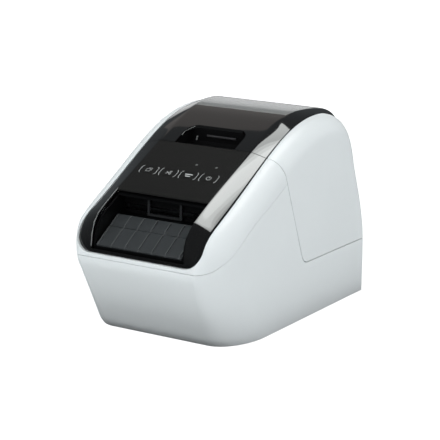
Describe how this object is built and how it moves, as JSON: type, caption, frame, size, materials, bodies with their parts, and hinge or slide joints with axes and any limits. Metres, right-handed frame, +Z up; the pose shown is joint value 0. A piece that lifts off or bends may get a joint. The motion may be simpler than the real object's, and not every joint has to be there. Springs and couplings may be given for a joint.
{
  "type": "thermal label printer",
  "caption": "Desktop thermal label printer: white case with a black glossy top inlay, sloping keypad, ribbed label outlet and a rear-hinged roll cover over a label roll.",
  "frame": {"origin": "on the table, at the centre of the footprint", "axes": "+Z up, front (label outlet) towards -Y, +X to the right as seen from the front"},
  "size_m": [0.1254, 0.213, 0.1421],
  "materials": {
    "white_case": "satin moulded, cool white",
    "grey_crown": "satin light grey",
    "gloss_black": "polished black with a brown cast",
    "panel_black": "semi-gloss black",
    "matte_black": "fine grain matte black",
    "dark_liner": "dark grey grain",
    "rubber": "matte rubber",
    "steel": "stamped, zinc plated",
    "motor_metal": "plated can",
    "aluminium": "extruded",
    "ceramic_head": "ground aluminium plate with a glazed strip",
    "gear_plastic": "natural acetal",
    "board": "green solder mask",
    "socket_black": "moulded connector",
    "light_pipe": "frosted clear",
    "label_paper": "coated thermal paper",
    "spool_plastic": "dark moulded"
  },
  "bodies": {
    "case": {"base_shell": "white_case", "bottom_plate": "dark_liner", "rubber_feet": "rubber", "case_screws": "steel", "front_cover": "white_case", "front_bezel": "gloss_black", "control_panel": "panel_black", "outlet_housing": "matte_black", "label_ramp_front": "matte_black", "label_ramp_rear": "matte_black", "exit_guide": "matte_black", "status_lights": "light_pipe", "button_board": "board", "hinge_pins": "steel", "print_chassis": "steel", "platen_bushes": "gear_plastic", "feed_motor": "motor_metal", "print_head": "ceramic_head", "heat_sink": "aluminium", "head_springs": "steel", "fixed_blade": "steel", "cutter_motor": "motor_metal", "paper_guides": "matte_black", "paper_sensor": "socket_black", "roll_well": "dark_liner", "main_board": "board", "power_board": "board", "power_inlet": "socket_black", "usb_socket": "socket_black"},
    "roll_cover": {"cover_shell": "white_case", "cover_top_panel": "gloss_black", "cover_crown": "grey_crown", "finger_recess": "matte_black", "cover_liner": "dark_liner", "latch_hooks": "dark_liner"},
    "feed_key": {"feed_button": "panel_black"},
    "cut_key": {"cut_button": "panel_black"},
    "mode_key": {"mode_button": "panel_black"},
    "power_key": {"power_button": "panel_black"},
    "platen": {"platen_roller": "rubber", "platen_shaft": "steel", "platen_gear": "gear_plastic"},
    "idler": {"idler_gear": "gear_plastic"},
    "pinion": {"motor_pinion": "gear_plastic"},
    "roll": {"label_roll": "label_paper", "label_spool": "spool_plastic"},
    "cutter_slide": {"blade_carriage": "gear_plastic", "cutter_blade": "steel"},
    "crank": {"cutter_crank": "gear_plastic"}
  },
  "joints": [
    {"name": "cover_hinge", "type": "hinge", "parent": "case", "child": "roll_cover", "pos_m": [0, 0.10415, 0.0406], "axis": [-1, 0, 0], "range_deg": [0, 72]},
    {"name": "feed_press", "type": "slide", "parent": "case", "child": "feed_key", "axis": [0, 0.4389, -0.8985], "range_m": [0, 0.0008], "stiffness_N_per_m": 600, "springref_m": -0.0005},
    {"name": "cut_press", "type": "slide", "parent": "case", "child": "cut_key", "axis": [0, 0.4389, -0.8985], "range_m": [0, 0.0008], "stiffness_N_per_m": 600, "springref_m": -0.0005},
    {"name": "mode_press", "type": "slide", "parent": "case", "child": "mode_key", "axis": [0, 0.4389, -0.8985], "range_m": [0, 0.0008], "stiffness_N_per_m": 600, "springref_m": -0.0005},
    {"name": "power_press", "type": "slide", "parent": "case", "child": "power_key", "axis": [0, 0.4389, -0.8985], "range_m": [0, 0.0008], "stiffness_N_per_m": 600, "springref_m": -0.0005},
    {"name": "platen_spin", "type": "hinge", "parent": "case", "child": "platen", "pos_m": [0, -0.032, 0.0783], "axis": [1, 0, 0], "continuous": true},
    {"name": "idler_spin", "type": "hinge", "parent": "case", "child": "idler", "pos_m": [0.042, -0.03831, 0.06095], "axis": [1, 0, 0], "continuous": true},
    {"name": "pinion_spin", "type": "hinge", "parent": "case", "child": "pinion", "pos_m": [0.042, -0.05265, 0.05573], "axis": [1, 0, 0], "continuous": true},
    {"name": "roll_spin", "type": "hinge", "parent": "case", "child": "roll", "pos_m": [0, 0.052, 0.057], "axis": [1, 0, 0], "continuous": true},
    {"name": "crank_turn", "type": "hinge", "parent": "case", "child": "crank", "pos_m": [-0.047, -0.052, 0.089], "axis": [0, 1, 0], "range_deg": [0, 60]},
    {"name": "blade_slide", "type": "slide", "parent": "case", "child": "cutter_slide", "axis": [0, 0, -1], "range_m": [0, 0.0052]}
  ],
  "couplings": [
    {"joint": "idler_spin", "follows": "platen_spin", "ratio": -0.76923},
    {"joint": "pinion_spin", "follows": "platen_spin", "ratio": 1.6667},
    {"joint": "crank_turn", "follows": "blade_slide", "rad_per_m": 201.38}
  ]
}
